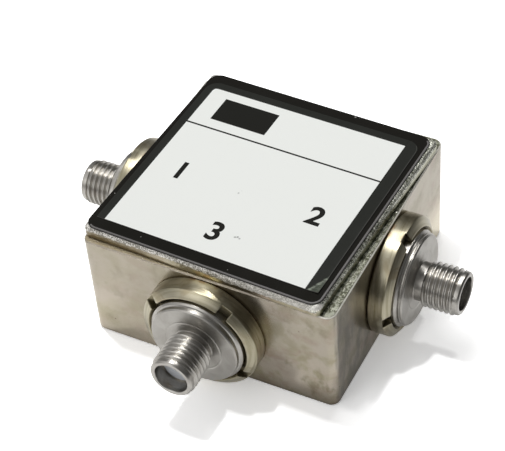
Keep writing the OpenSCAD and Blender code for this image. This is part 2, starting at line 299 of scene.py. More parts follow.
paper = Finish("white paper")
lit = paper.node("ShaderNodeBsdfDiffuse", None, {"Color": FLOOR_WHITE})
extra = paper.node("ShaderNodeBsdfDiffuse", None, {"Color": FLOOR_EXTRA})
table = paper.node("ShaderNodeBsdfDiffuse", None, {"Color": TABLE_GREY})
glow = paper.node("ShaderNodeEmission", None, {"Color": (1, 1, 1, 1), "Strength": FLOOR_GLOW})
overexposed = paper.node("ShaderNodeAddShader", None, {0: lit, 1: extra})
glowing = paper.node("ShaderNodeAddShader", None, {0: overexposed, 1: glow})
straight = paper.node("ShaderNodeLightPath", result="Is Camera Ray")
mirrored = paper.node("ShaderNodeLightPath", result="Is Glossy Ray")
through = paper.node("ShaderNodeLightPath", result="Is Transmission Ray")
seen = straight.most(mirrored * MIRRORED_GLOW).most(through)
sheet_light = paper.node("ShaderNodeMixShader", None, {0: seen, 1: lit, 2: glowing})
from_middle = paper.length(paper.vector("SUBTRACT", paper.place, SHEET_MIDDLE))
beyond_sheet = paper.step(from_middle, SHEET_FADE, SHEET_END) * mirrored
sheet_and_table = paper.node("ShaderNodeMixShader", None, {0: beyond_sheet, 1: sheet_light, 2: table})
floor.data.materials.append(paper.shown(sheet_and_table))
print("floor", FLOOR_SIZE, "m wide")

# %% [markdown]
# The lamps are level panels that face straight down. Their strength is given as the share of plain light
# that each lays on the sheet, where 1 in all makes a colour render as it is written. The sheet sees a level
# panel at an angle and from farther away the more it hangs aside, and both make it weaker, so both go into
# its power.

# %% Hang the lamps
def level_lamp(name, height, aside, behind, width, depth, share):
    """A level panel at a height in metres. The other lengths are given as shares of that height."""
    light = bpy.data.lights.new(name, "AREA")
    light.shape = "RECTANGLE"
    light.size = width * height
    light.size_y = depth * height
    lamp = bpy.data.objects.new(name, light)
    bpy.context.scene.collection.objects.link(lamp)
    lamp.location = (aside * height, behind * height, height)
    light.energy = share * math.pi ** 2 * lamp.location.length ** 4 / height ** 2
    return lamp


lamps = [
    level_lamp("small lamp", height=1.4, aside=-0.257, behind=0.115, width=0.05, depth=0.06, share=0.32),
    level_lamp("broad panel", height=0.9, aside=-0.25, behind=0.43, width=0.40, depth=0.46, share=0.20),
    level_lamp("far lamp", height=1.1, aside=0.00, behind=0.80, width=0.12, depth=0.07, share=0.12),
]
print("lamps:", [lamp.name for lamp in lamps])

# %% [markdown]
# Round metal shows the room around it. The bevels of the ring nuts tell where that room was bright: they
# are dark where they look to the right along the sheet, and pale where they look to the left or up to the
# front. So the room here is a grey dome, dim at the right, behind and overhead, and brighter at the left
# and high in front, where a window draws a second, softer light on the round pieces. To the camera the room
# is white.

# %% Surround it with a room
ROOM_BRIGHT = 0.62
ROOM_DIM = 0.09
ROOM_ABOVE = 0.22
ROOM_HIGH_FRONT = 1.15
WINDOW = 1.7
BRIGHT_SIDE = (-1.0, -0.25, 0)
HIGH_SIDE = (-0.75, -0.66, 0)
WINDOW_SIDE = (-0.354, -0.834, 0.423)

room = Finish("room", bpy.data.worlds)
direction = room.node("ShaderNodeTexCoord", result="Generated")


def brighter(side, start, end, low, high):
    """A brightness that goes evenly from low to high as a direction agrees more with a side of the room."""
    agree = room.node("ShaderNodeVectorMath", {"operation": "DOT_PRODUCT"}, {0: direction, 1: side}, "Value")
    return room.step(agree, start, end, low, high, "LINEAR")


horizon = brighter(BRIGHT_SIDE, -0.1, 1.0, ROOM_DIM, ROOM_BRIGHT)
above = brighter(HIGH_SIDE, 0.25, 0.60, ROOM_ABOVE, ROOM_HIGH_FRONT)
shade = brighter((0, 0, 1), 0.0, 0.72, horizon, above)
window = brighter(WINDOW_SIDE, 0.93, 0.985, 0.0, WINDOW)
to_camera = room.node("ShaderNodeLightPath", result="Is Camera Ray")
strength = room.node("ShaderNodeMix", None, {"Factor": to_camera, "A": shade + window, "B": 1.0})
room_light = room.node("ShaderNodeBackground", None, {"Strength": strength})
bpy.context.scene.world = room.shown(room_light, "ShaderNodeOutputWorld")
print("room from", ROOM_DIM, "to", ROOM_BRIGHT, "at the horizon,", ROOM_ABOVE, "overhead")

# %% [markdown]
# ## Nickel plate on brass
# The box and its cover are brass under a thin satin coat of nickel, which has aged to a warm grey with
# olive, pink and brown clouds. Clouds are slow noise that lays one tone over another. The coat isn't quite
# flat, so its reflections wander, and a few pinholes have gone dark. The clouds are stronger at the right.

# %% Make the plate
TONES.update({
    "grey plate": (0.43, 0.388, 0.303),
    "warm plate": (0.46, 0.41, 0.343),
    "olive cloud": (0.30, 0.27, 0.17),
    "pink cloud": (0.35, 0.265, 0.21),
    "brown smear": (0.18, 0.16, 0.095),
    "pinhole": (0.15, 0.11, 0.075),
})


def nickel(f):
    """The clouded colour of the plate, its roughness and its bump."""
    clouds = f.noise(8, 3, 0.5, twist=0.8)
    blotchy = f.step(f.part("X"), -8, 5, 0.5, 1.0)
    patches = f.noise(3.2, 3, 0.55, twist=0.3)
    pink_patches = f.noise(2.8, 3, 0.5, f.stretched(1, 1, 1.4), twist=0.4)
    smears = f.noise(1.9, 3, 0.6, f.stretched(1, 1, 0.7)) * 0.6 + f.noise(6, 1, 0.5) * 0.4
    holes = f.node("ShaderNodeTexVoronoi", None, {"Vector": f.place, "Scale": 1 / 1.9}, "Distance")
    pinhole = f.step(holes, 0.07, 0.03) * f.step(f.noise(5, 1, 0.5), 0.52, 0.60)
    colour = f.over(f.blend(f.step(clouds, 0.40, 0.62), "grey plate", "warm plate"),
                    ("olive cloud", f.step(patches, 0.44, 0.64, 0, 0.75) * blotchy),
                    ("pink cloud", f.step(pink_patches, 0.47, 0.70, 0, 0.65) * blotchy),
                    ("brown smear", f.step(smears, 0.53, 0.65, 0, 0.60) * blotchy),
                    ("pinhole", pinhole * 0.7))
    swell = f.bump(f.noise(4, 2, 0.4), 0.020)
    grain = f.bump(f.noise(0.12, 2, 0.6), 0.0015, swell)
    return colour, 0.16 + patches * 0.14 + pinhole * 0.2, grain


def grit(f, grain, light, dark, blotchy=0.25):
    """Colour and height of a rough, glittering crust."""
    lumps = f.noise(grain, 3, 0.65)
    wide = f.noise(grain * 4, 2, 0.5)
    mixed = lumps * (1 - blotchy) + wide * blotchy
    return f.blend(f.step(mixed, 0.44, 0.57), dark, light), f.step(lumps, 0.36, 0.64)


print("plate in", len(TONES), "tones")

# %% [markdown]
# The walls of the box carry painted shade: darker high up, a painted shadow at the foot, and a painted
# shadow on the front part of the right wall, where faint lines run down, with painted light low down behind
# it. The rim is a ledge round the cover. In front it is tan and ragged, and at the right it is a dark crust
# with bright flecks, painted darker towards the back, behind a painted highlight along its outer edge.

# %% Plate the box
TONES.update({
    "painted shade high on the wall": (0.30, 0.27, 0.22),
    "painted foot shadow": (0.10, 0.085, 0.06),
    "painted shade on the right wall": (0.125, 0.115, 0.10),
    "painted light low on the right wall": (0.80, 0.73, 0.57),
    "rim light": (0.40, 0.41, 0.335),
    "rim dark": (0.09, 0.095, 0.062),
    "painted shade toward the back of the rim": (0.09, 0.09, 0.06),
    "tan rim": (0.56, 0.47, 0.315),
    "fleck": (0.92, 0.90, 0.84),
    "worn edge": (0.97, 0.94, 0.84),
    "dim painted edge highlight": (0.45, 0.40, 0.33),
})
CASE_TOP = case_high.z / MM


def walls_with_painted_shade(f, colour):
    """The walls' plate, with painted shade high up, at the foot and at the front right, and painted light.
    """
    side, depth, height = f.part("X"), f.part("Y"), f.part("Z")
    foot = f.step(height, 3.4, 0.3) * f.step(side, -2, 8, 0.05, 0.52) * f.step(depth, -4, -13)
    right_wall = f.step(side, 17.7, 17.95)
    veil = depth + f.wander(5, 3)
    drips = f.noise(1.6, 3, 0.6, f.stretched(1, 1, 0.3))
    return f.over(colour,
                  # painted shade: the walls darker high up
                  ("painted shade high on the wall", f.step(height, 4, 13, 0, 0.45)),
                  # painted shadow at the foot, deepest at the front right
                  ("painted foot shadow", foot + f.step(height, 0.9, 0.3, 0, 0.3)),
                  # painted shadow on the front part of the right wall, broken by faint lines that run down
                  ("painted shade on the right wall", right_wall * f.step(veil, -3, -10) * f.step(drips, 0.38, 0.62, 0.15, 0.62)),
                  # painted light low on the right wall, from its middle to the back
                  ("painted light low on the right wall", right_wall * f.step(veil, -5, -1) * f.step(height, 9, 3, 0, 0.7)))


def case_plate():
    """Walls with painted shade and light under a rim of crust with a painted edge highlight."""
    f = Finish("nickel plate of the box")
    plate, roughness, normal = nickel(f)
    crust, lumps = grit(f, 0.25, "rim light", "rim dark", 0.5)
    colour = walls_with_painted_shade(f, plate)
    depth, height = f.part("Y"), f.part("Z")
    front = f.step(depth, -16.6, -17.0) * f.step(f.part("X"), 16, 14)
    ragged = height + f.wander(0.6, 0.6, 3, 0.6) * front
    rim = f.step(ragged, CASE_TOP - 0.22, CASE_TOP - 0.15)
    flat = f.step(height, CASE_TOP - 0.06, CASE_TOP - 0.01)
    # painted shade: the rim's crust darker towards the back
    crust = f.over(crust, ("painted shade toward the back of the rim", f.step(depth, -13, 4, 0, 0.5)), ("tan rim", front * 0.8),
                   ("fleck", f.step(f.noise(0.35, 2, 0.5), 0.66, 0.70)))
    # painted highlight on the flat top of the rim, dimmer in front
    edge = f.blend(front, "worn edge", "dim painted edge highlight")
    colour = f.blend(rim * 0.95, colour, f.blend(flat, edge, crust))
    # the right rim is made less metallic, so that it scatters the lamps' light
    matte_rim = rim * (1 - flat) * (1 - front)
    return f.surface(Base_Color=colour, Metallic=1 - matte_rim * 0.75, Roughness=roughness + rim * 0.20,
                     Normal=f.bump(lumps * rim, 0.035, normal))


case_finish = case_plate()
print("finish:", case_finish.name)

# %% [markdown]
# The cover's upper edge is a crust of plating, white and fine in front, dark with bright flecks at the
# right. Below it the side of the plate shows, with rust-brown and olive stains one after another in front,
# then a painted dark reflection of the front ring nut, and a painted deep shadow at the right. The front
# right corner has a painted highlight.

# %% Plate the cover
TONES.update({
    "crust light": (0.86, 0.835, 0.79),
    "crust dark": (0.25, 0.235, 0.195),
    "rubbed crust": (0.66, 0.64, 0.59),
    "right crust light": (1.0, 1.0, 0.90),
    "right crust dark": (0.10, 0.107, 0.07),
    "side of the cover": (0.24, 0.21, 0.11),
    "brown stain": (0.16, 0.13, 0.08),
    "olive stain": (0.62, 0.56, 0.36),
    "painted reflection of the ring nut": (0.18, 0.155, 0.115),
    "deep shadow": (0.20, 0.195, 0.125),
    "light shadow": (0.46, 0.45, 0.35),
    "painted corner highlight": (0.90, 0.87, 0.82),
})


def side_with_stains_and_shade(f, colour):
    """The side of the cover below its crust, with stains, a painted reflection and painted shade along it.
    """
    along = f.part("X") + f.wander(3, 1.6)
    right_side = f.step(f.part("X"), 16.7, 17.1)
    brown = f.step(along, -4.5, -9, 0, 0.8)
    olive = f.step(along, -0.8, 0.6) * f.step(along, 4.2, 3.0)
    # painted dark reflection of the front ring nut in the side of the cover
    dark = f.step(along, 3.0, 4.2) * f.step(along, 8.4, 7.0) * 0.85
    side = f.over(colour, ("side of the cover", 0.25), ("brown stain", brown), ("olive stain", olive),
                  ("painted reflection of the ring nut", dark))
    shadow = f.blend(f.step(f.part("Z"), 0.2, 0.9), "deep shadow", "light shadow")
    crust_foot = f.step(along, -4, 5, 0.80, 0.42) + right_side * 0.33
    return f.blend(right_side, side, shadow), crust_foot


def cover_plate():
    """A crust round the upper edge, a stained, shaded side below it and a painted highlight on a corner."""
    f = Finish("nickel plate of the cover")
    plate, roughness, normal = nickel(f)
    front_crust, front_lumps = grit(f, 0.15, "crust light", "crust dark")
    front_crust = f.blend(f.step(f.part("X"), 2, 12, 0, 0.5), front_crust, "rubbed crust")
    right_crust, right_lumps = grit(f, 0.16, "right crust light", "right crust dark", 0.2)
    right_band = f.step(f.part("X"), 15.9, 16.5)
    crust = f.blend(right_band, front_crust, right_crust)
    lumps = front_lumps + right_band * (right_lumps - front_lumps)
    side, crust_foot = side_with_stains_and_shade(f, plate)
    height = f.part("Z")
    rounding = f.step(height + f.wander(0.4, 0.5, 2), crust_foot, crust_foot + 0.25)
    # painted highlight on the front right corner, made less metallic so that it stays pale
    corner = f.step(f.part("X") * 0.7 - f.part("Y") * 0.7, 23.1, 23.5) * f.step(height, 0.8, 1.1)
    colour = f.blend(corner * 0.8, f.blend(rounding, side, crust), "painted corner highlight")
    return f.surface(Base_Color=colour, Metallic=1 - corner * 0.7, Roughness=roughness + rounding * 0.22,
                     Normal=f.bump(lumps * rounding * (1 - corner), 0.022, normal))


cover_finish = cover_plate()
print("finish:", cover_finish.name)

# %% [markdown]
# ## Turned metal
# The ring nuts and the jacks came off a lathe, so fine lines run round them. Noise that is stretched round
# the axis gives those lines: it is read at the distance from the axis and the height along it, and hardly
# at all round the axis. The nuts are nickel over brass, yellower than the jacks, which are bare stainless
# steel. A nut is tarnished on top, under the cover, and darker inside its slots.

# %% Make the turned finishes
TONES.update({
    "dark nut": (0.315, 0.287, 0.20),
    "light nut": (0.465, 0.43, 0.325),
    "brown nut": (0.29, 0.245, 0.16),
    "tarnish": (0.30, 0.21, 0.13),
    "darker slots": (0.13, 0.11, 0.06),
    "light steel": (0.42, 0.405, 0.376),
    "dark steel": (0.345, 0.328, 0.30),
})
NUT_RADIUS = 8.3
BEVEL_FOOT = 2.30
BEVEL_SLOPE = 0.7 / 1.05
SLOT_FLOOR = 2.15


def lathe_lines(f, grain, drift):
    """Noise in lines round the local Z axis, a grain apart, which change slowly over a drift round it."""
    across = f.length(f.stretched(1, 1, 0)) * (1 / grain) + f.part("X") * (1 / drift)
    along = f.part("Z") * (1 / grain) + f.part("Y") * (1 / drift)
    place = f.node("ShaderNodeCombineXYZ", None, {"X": across, "Y": along})
    return f.noise(1, 3, 0.6, place)


def inside_slots(f):
    """A mask of the slots' floors and walls, which lie below the bevel."""
    away = f.length(f.stretched(1, 1, 0))
    below_bevel = BEVEL_FOOT + (NUT_RADIUS - away) * BEVEL_SLOPE - f.part("Z")
    above_floor = f.step(f.part("Z"), SLOT_FLOOR - 0.07, SLOT_FLOOR - 0.01)
    return f.step(below_bevel, 0.08, 0.20) * above_floor * f.step(away, NUT_RADIUS - 0.08, NUT_RADIUS - 0.15)


def turned_nut():
    """Yellowish plate with lathe lines, tarnish and slots darker inside."""
    f = Finish("nickel plate of the ring nuts")
    lines = lathe_lines(f, 0.10, 3)
    bands = lathe_lines(f, 0.6, 6)
    clouds = f.noise(3.5, 4, 0.6, twist=0.8)
    under_cover = f.step(f.part("X"), -6.6, -7.6) * f.step(f.part("Z"), 0.9, 0.2)
    colour = f.over(f.blend(f.step(bands, 0.35, 0.65), "dark nut", "light nut"),
                    ("brown nut", f.step(clouds, 0.52, 0.68, 0, 0.7)),
                    ("tarnish", under_cover * f.step(f.noise(0.9, 3, 0.6), 0.48, 0.64)),
                    # darker inside the slots
                    ("darker slots", inside_slots(f) * 0.8))
    return f.surface(Base_Color=colour, Metallic=1.0, Roughness=0.16 + lines * 0.18 + bands * 0.12,
                     Normal=f.bump(lines, 0.008))


def turned_steel():
    """Grey steel with finer lines, a little rougher on the face of the disc."""
    f = Finish("stainless steel")
    lines = lathe_lines(f, 0.07, 4)
    clouds = f.noise(2.5, 4, 0.6, twist=0.5)
    colour = f.blend(f.step(clouds, 0.4, 0.7), "light steel", "dark steel")
    disc_face = f.step(f.part("Z"), 4.6, 4.4) * f.step(f.part("Z"), 3.95, 4.05)
    return f.surface(Base_Color=colour, Metallic=1.0, Normal=f.bump(lines, 0.0015),
                     Roughness=0.19 + lines * 0.12 + clouds * 0.08 + disc_face * 0.10)


nut_finish = turned_nut()
steel_finish = turned_steel()
print("finishes:", nut_finish.name, "and", steel_finish.name)

# %% [markdown]
# ## Films and inks
# The lower label is a square of black film with a clear edge and a painted shadow line along its cut. The
# upper one is a printed sheet, dark at its border and white inside, with a painted highlight along its right
# edge. Both are satin plastic with a little dust and fine rubbed lines. Where the sheet's front right corner
# has come unstuck, a painted sheen lies pale and streaked on it, with a painted highlight on the crease.

# %% Make the films
TONES.update({
    "black": (0.0070, 0.0062, 0.0042),
    "border": (0.019, 0.020, 0.017),
    "painted edge highlight of the border": (0.055, 0.056, 0.050),
    "white": (0.80, 0.815, 0.785),
    "clear": (0.125, 0.118, 0.115),
    # cut: a painted shadow line along the edge of the black film
    "cut": (0.016, 0.015, 0.012),
    "ink": (0.012, 0.012, 0.010),
    "dust": (0.20, 0.20, 0.18),
    "dust on white": (0.71, 0.725, 0.69),
    "dust on clear": (0.24, 0.23, 0.22),
    "dust on the shadow line": (0.08, 0.075, 0.07),
    "dust on ink": (0.08, 0.08, 0.075),
    "film fleck": (0.55, 0.55, 0.52),
    "panel mark": (0.20, 0.20, 0.19),
    "painted sheen on the lifted corner": (0.105, 0.12, 0.092),
    "crease_highlight": (0.30, 0.33, 0.27),
})
FILM_FLECKS = [(-16.44, -10.36, 0.08, 0.8), (15.1, 14.73, 0.14, 0.8), (16.04, 12.88, 0.10, 0.7),
               (4.0, -16.3, 0.08, 0.4), (-9.0, -15.9, 0.10, 0.3), (5.6, 16.5, 0.16, 0.5)]
PANEL_MARKS = [(-1.49, -3.54, 0.18, 0.45), (2.1, -10.9, 0.18, 0.75), (2.4, -10.75, 0.19, 0.75),
               (2.75, -10.9, 0.17, 0.7), (-1.3, -3.0, 0.10, 0.15)]


def lifted_corner(f, tone):
    """Lays a pale, streaked painted sheen and a painted crease highlight on the sheet's lifted corner."""
    beyond = f.part("X") * 0.904 - f.part("Y") * 0.428 - 19.92
    streaks = f.noise(0.35, 3, 0.6, f.stretched(0.5, 1.6, 1))
    lifted = f.step(beyond + (streaks - 0.5), -0.30, 0.25)
    crease_highlight = f.step(beyond, -0.30, -0.05) * f.step(beyond, 0.28, 0.05)
    # painted sheen on the lifted corner and a painted highlight on its crease
    return f.over(tone, ("painted sheen on the lifted corner", lifted * f.step(streaks, 0.35, 0.62, 0.4, 1.0)),
                  ("crease_highlight", crease_highlight * f.step(streaks, 0.4, 0.6, 0.2, 0.8)))


def satin_film(name, tone, dust_tone, roughness, dust, shine, marks=(), mark_tone=None, corner=False):
    """Plastic film with faint clouds, dust and rubbed lines, and marks of (x, y, radius, share)."""
    f = Finish(name)
    tone = f.over(tone, *[(mark_tone, f.spot(x, y, radius) * share) for x, y, radius, share in marks])
    clouds = f.noise(6, 3, 0.5)
    specks = f.noise(0.12, 2, 0.6)
    rubbed = f.noise(0.25, 3, 0.6, f.stretched(1, 0.08, 1))
    dusty = f.step(specks, 0.66, 0.72) * dust + f.step(clouds, 0.45, 0.75, 0, dust * 0.25)
    tone = f.blend(dusty, tone, dust_tone)
    if corner:
        tone = lifted_corner(f, tone)
    relief = f.bump(rubbed, 0.0006, f.bump(f.noise(5, 2, 0.4), 0.006))
    return f.surface(Base_Color=tone, Roughness=roughness + clouds * 0.06 + rubbed * 0.05,
                     Specular_IOR_Level=shine, Normal=relief)


black_film = satin_film("black film", "black", "dust", 0.02, 0.05, 0.40, FILM_FLECKS, "film fleck")
border_print = satin_film("dark border of the label", "border", "dust", 0.08, 0.06, 0.35, corner=True)
# painted highlight along the raised right edge of the printed sheet
border_edge_highlight = satin_film("painted edge highlight of the dark border", "painted edge highlight of the border", "dust", 0.12, 0.1, 0.35, corner=True)
white_print = satin_film("white panel of the label", "white", "dust on white", 0.34, 0.15, 0.25,
                         PANEL_MARKS, "panel mark")
clear_edge = satin_film("clear edge of the film", "clear", "dust on clear", 0.20, 0.3, 0.5)
film_edge_shadow = satin_film("painted shadow line at the edge of the film", "cut", "dust on the shadow line", 0.35, 0.1, 0.2)
ink = satin_film("black ink", "ink", "dust on ink", 0.34, 0.08, 0.06)
print("films and inks made")

# %% [markdown]
# ## The other materials
# Inside the mouths of the ports there is white fluoropolymer and a gold-plated contact. Solder, board,
# ferrite, copper and the diode's package are sealed in under the cover, and get their own finishes too.

# %% Make the remaining finishes
def mottled(name, light, dark, grain, metallic, roughness, relief):
    """A finish whose colour wanders between two tones, with relief of the same grain."""
    f = Finish(name)
    lumps = f.noise(grain, 4, 0.6)
    wide = f.noise(grain * 6, 2, 0.5)
    colour = f.blend(f.step(lumps * 0.6 + wide * 0.4, 0.40, 0.62), dark, light)
    return f.surface(Base_Color=colour, Metallic=metallic, Roughness=roughness + wide * 0.15,
                     Normal=f.bump(lumps, relief))


inner_finishes = {
    "ptfe": mottled("white fluoropolymer", (0.66, 0.68, 0.71), (0.56, 0.58, 0.61), 0.3, 0.0, 0.35, 0.002),
    "gold": mottled("gold plate", (0.78, 0.58, 0.27), (0.62, 0.43, 0.18), 0.2, 1.0, 0.18, 0.001),
    "solder": mottled("solder", (0.62, 0.61, 0.58), (0.40, 0.39, 0.36), 0.5, 1.0, 0.30, 0.02),
    "board": mottled("green circuit board", (0.05, 0.16, 0.07), (0.03, 0.11, 0.05), 0.4, 0.0, 0.35, 0.003),
    "screw_plate": mottled("yellow zinc", (0.72, 0.62, 0.38), (0.60, 0.50, 0.28), 0.3, 1.0, 0.25, 0.002),
    "ferrite": mottled("ferrite", (0.07, 0.066, 0.062), (0.04, 0.038, 0.036), 0.15, 0.0, 0.5, 0.006),
    "copper": mottled("enamelled copper", (0.55, 0.20, 0.07), (0.40, 0.12, 0.04), 0.25, 0.6, 0.2, 0.004),
    "package": mottled("moulded epoxy", (0.028, 0.027, 0.028), (0.018, 0.018, 0.019), 0.1, 0.0, 0.55, 0.003),
}
print("inner finishes:", sorted(inner_finishes))

# %% [markdown]
# ## Tools for shapes
# Most pieces here are loops stacked on loops: round rings for turned parts, round-cornered squares for the
# plate and the film. One function takes such loops and returns an object, with its faces closed, its
# doubled points joined and its outside turned outwards.

# %% Stack loops into a piece
JOIN_DISTANCE = 0.002 * MM
TURNED_FOLD = 35
FLAT_FOLD = 60


def smooth(mesh, fold):
    """Shades a mesh smooth, but for the edges where it folds by more than that many degrees."""
    mesh.shade_smooth()
    mesh.set_sharp_from_angle(angle=math.radians(fold))


def make_piece(name, place, shape, finishes, stands_for=(), face_finish=None,
               fold=TURNED_FOLD):
    """Makes one object from a shape of points and faces, in metres, and lets it ride with the frame."""
    points, faces = shape
    mesh = bpy.data.meshes.new(name)
    mesh.from_pydata([tuple(p) for p in points], [], faces)
    for finish in finishes:
        mesh.materials.append(finish)
    if face_finish:
        mesh.polygons.foreach_set("material_index", face_finish)
    work = bmesh.new()
    work.from_mesh(mesh)
    bmesh.ops.remove_doubles(work, verts=work.verts, dist=JOIN_DISTANCE)
    bmesh.ops.dissolve_degenerate(work, edges=work.edges, dist=JOIN_DISTANCE / 4)
    bmesh.ops.recalc_face_normals(work, faces=work.faces)
    work.to_mesh(mesh)
    work.free()
    smooth(mesh, fold)
    piece = bpy.data.objects.new(name, mesh)
    bpy.context.scene.collection.objects.link(piece)
    piece.matrix_world = place
    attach(piece, "root")
    if stands_for:
        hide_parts(*stands_for)
    return piece


def band(low, high, across):
    """Faces between two rings of that many points, each ring given by its first point."""
    return [(low + i, low + (i + 1) % across, high + (i + 1) % across, high + i) for i in range(across)]


def strips(rings, across, first=0):
    """Faces between rings that follow each other in one list of points."""
    starts = [first + ring * across for ring in range(rings)]
    return [face for low, high in zip(starts, starts[1:]) for face in band(low, high, across)]


print("two points closer than", round(JOIN_DISTANCE / MM, 3), "mm are joined")

# %% [markdown]
# A drawn profile has hard corners, and no made thing has. This function swaps each corner for a small arc,
# drawn as a curve between the two edges, so that every edge catches a line of light.

# %% Soften a profile
ARC_PARTS = 4
MOST_OF_AN_EDGE = 0.45


def soften(corners):
    """A closed path of (radius, height) in metres, from corners of (radius, height, rounding) in mm."""
    path = []
    for i, (r, z, rounding) in enumerate(corners):
        here = Vector((r, z))
        before = Vector(corners[i - 1][:2]) - here
        after = Vector(corners[(i + 1) % len(corners)][:2]) - here
        cut = min(rounding, before.length * MOST_OF_AN_EDGE, after.length * MOST_OF_AN_EDGE)
        if cut == 0:
            path.append(here * MM)
            continue
        start = here + before.normalized() * cut
        end = here + after.normalized() * cut
        for k in range(ARC_PARTS + 1):
            t = k / ARC_PARTS
            path.append(((1 - t) ** 2 * start + 2 * t * (1 - t) * here + t ** 2 * end) * MM)
    return path


def soft_run(corners):
    """An open path: the first and the last corner stay where they are."""
    return soften([(*corners[0][:2], 0), *corners[1:-1], (*corners[-1][:2], 0)])


def spin(path, columns):
    """Rings of points round the Z axis, one for each point of a path."""
    turns = np.arange(columns) * 2 * math.pi / columns
    rings = [np.stack([r * np.cos(turns), r * np.sin(turns), np.full(columns, z)], 1) for r, z in path]
    return np.concatenate(rings)


print("each rounding gets", ARC_PARTS, "parts")

# %% [markdown]
# ## The threaded jacks
# A jack is one turned piece of stainless steel. It passes through the wall, ends in a disc, and carries a
# barrel with a fine thread. The thread could be a texture, but its crests make the outline, so it is
# modelled, with the crests where the photograph shows them. Rows of points climb round the barrel, one
# pitch for each turn. Rows that would leave the threaded length are held at its ends, where they fall
# together and are joined. Lengths here are millimetres from the wall.

# %% Cut the thread
PITCH = 0.755
FIRST_CREST = 4.70
THREAD_START = 5.0
THREAD_END = 9.45
RUN_OUT = 0.12
CREST_RADIUS = 3.175
THREAD_DEPTH = 0.36
START_RADIUS = 2.925
LEAD_RADIUS = 3.0
CREST_SHARE = 0.20
ROOT_SHARE = 0.20
WEAR = (-0.03, -0.015, 0, 0.015, 0.03)
COLUMNS = 128
ROW_PHASES = [0.0, 0.035, 0.10, 0.165, 0.20, 0.24, 0.34, 0.46, 0.50, 0.54, 0.66, 0.70, 0.74, 0.86, 0.96]


def thread_form(phase):
    """Height of the thread's section, from 0 at its root to 1 at its crest, with worn corners."""
    flank = (1 - CREST_SHARE - ROOT_SHARE) / 2
    total = 0
    for nudge in WEAR:
        p = (phase + nudge) % 1
        down = (CREST_SHARE + flank - p) / flank
        rise = (p - CREST_SHARE - flank - ROOT_SHARE) / flank
        total = total + np.clip(np.where(p < CREST_SHARE, 1, np.maximum(down, rise)), 0, 1)
    return total / len(WEAR)


def thread_radius(along, turn):
    """Radius of the threaded barrel at a distance along it and a turn round it."""
    phase = ((along - FIRST_CREST) / PITCH - turn) % 1
    fade = np.clip((THREAD_END - along) / RUN_OUT, 0, 1)
    outside = np.minimum(CREST_RADIUS, START_RADIUS + along - THREAD_START)
    outside = outside - (CREST_RADIUS - LEAD_RADIUS) * (1 - fade)
    return np.minimum(outside, CREST_RADIUS - THREAD_DEPTH * (1 - thread_form(phase)) * fade)


def thread_rows(out):
    """Points of the thread, row by row up a barrel that is moved out, in metres."""
    turns_needed = math.ceil((THREAD_END - FIRST_CREST) / PITCH) + 1
    phases = [n + p for n in range(turns_needed) for p in ROW_PHASES] + [turns_needed]
    turn = np.arange(COLUMNS) / COLUMNS
    angle = turn * 2 * math.pi
    rows = []
    for phase in phases:
        along = np.clip(FIRST_CREST + (phase - 1 + turn) * PITCH, THREAD_START, THREAD_END)
        radius = thread_radius(along, turn)
        row = np.stack([radius * np.cos(angle), radius * np.sin(angle), along], 1) * MM
        rows.append(row + (0, 0, out * MM))
    return rows


print("thread pitch", PITCH, "mm, rows", len(thread_rows(0)))

# %% [markdown]
# Each disc stands out of its ring nut, with a shallow turned ring on its face. At the right port the disc's
# edge shows the end of the body's own thread as dark lines, and the barrel reaches a little farther out. So
# a jack is given the shape of its disc and the distance by which its barrel is moved out.

# %% Turn the three jacks
def moved_out(corners, out):
    """The same corners, farther along the axis."""
    return [(r, z + out, rounding) for r, z, rounding in corners]


RING = [(4.15, 0, 0.04), (3.98, -0.06, 0.05), (3.80, 0, 0.04)]
JACK_BODY = [(2.07, -4.2, 0), (7.3, -4.2, 0.1), (7.3, -3.0, 0), (6.65, -3.0, 0), (6.65, 3.12, 0.06)]
PLAIN_DISC = [(6.44, 3.32, 0.04), (6.22, 3.40, 0.03), (6.22, 3.92, 0.05), (6.05, 4.10, 0.05),
              *moved_out(RING, 4.10), (2.65, 4.10, 0.15)]
GROOVED_DISC = [(6.40, 3.34, 0.03), (6.38, 3.44, 0.02), (6.24, 3.50, 0.02), (6.24, 3.56, 0.02),
                (6.38, 3.62, 0.02), (6.38, 3.74, 0.02), (6.24, 3.80, 0.02), (6.24, 3.86, 0.02),
                (6.30, 3.92, 0.04), (6.12, 4.12, 0.04), *moved_out(RING, 4.12), (2.65, 4.12, 0.15)]
JACK_NECK = [(2.65, 5.0, 0.1)]
JACK_AHEAD = [(3.0, 9.45, 0), (2.98, 9.98, 0.05), (2.80, 10.2, 0.06), (2.41, 10.2, 0.04), (2.31, 10.1, 0.04)]
JACK_BORE = [(2.31, 8.27, 0), (2.07, 8.27, 0)]
DISCS = {"rf": (PLAIN_DISC, 0), "lo": (GROOVED_DISC, 0.28), "if": (PLAIN_DISC, 0)}


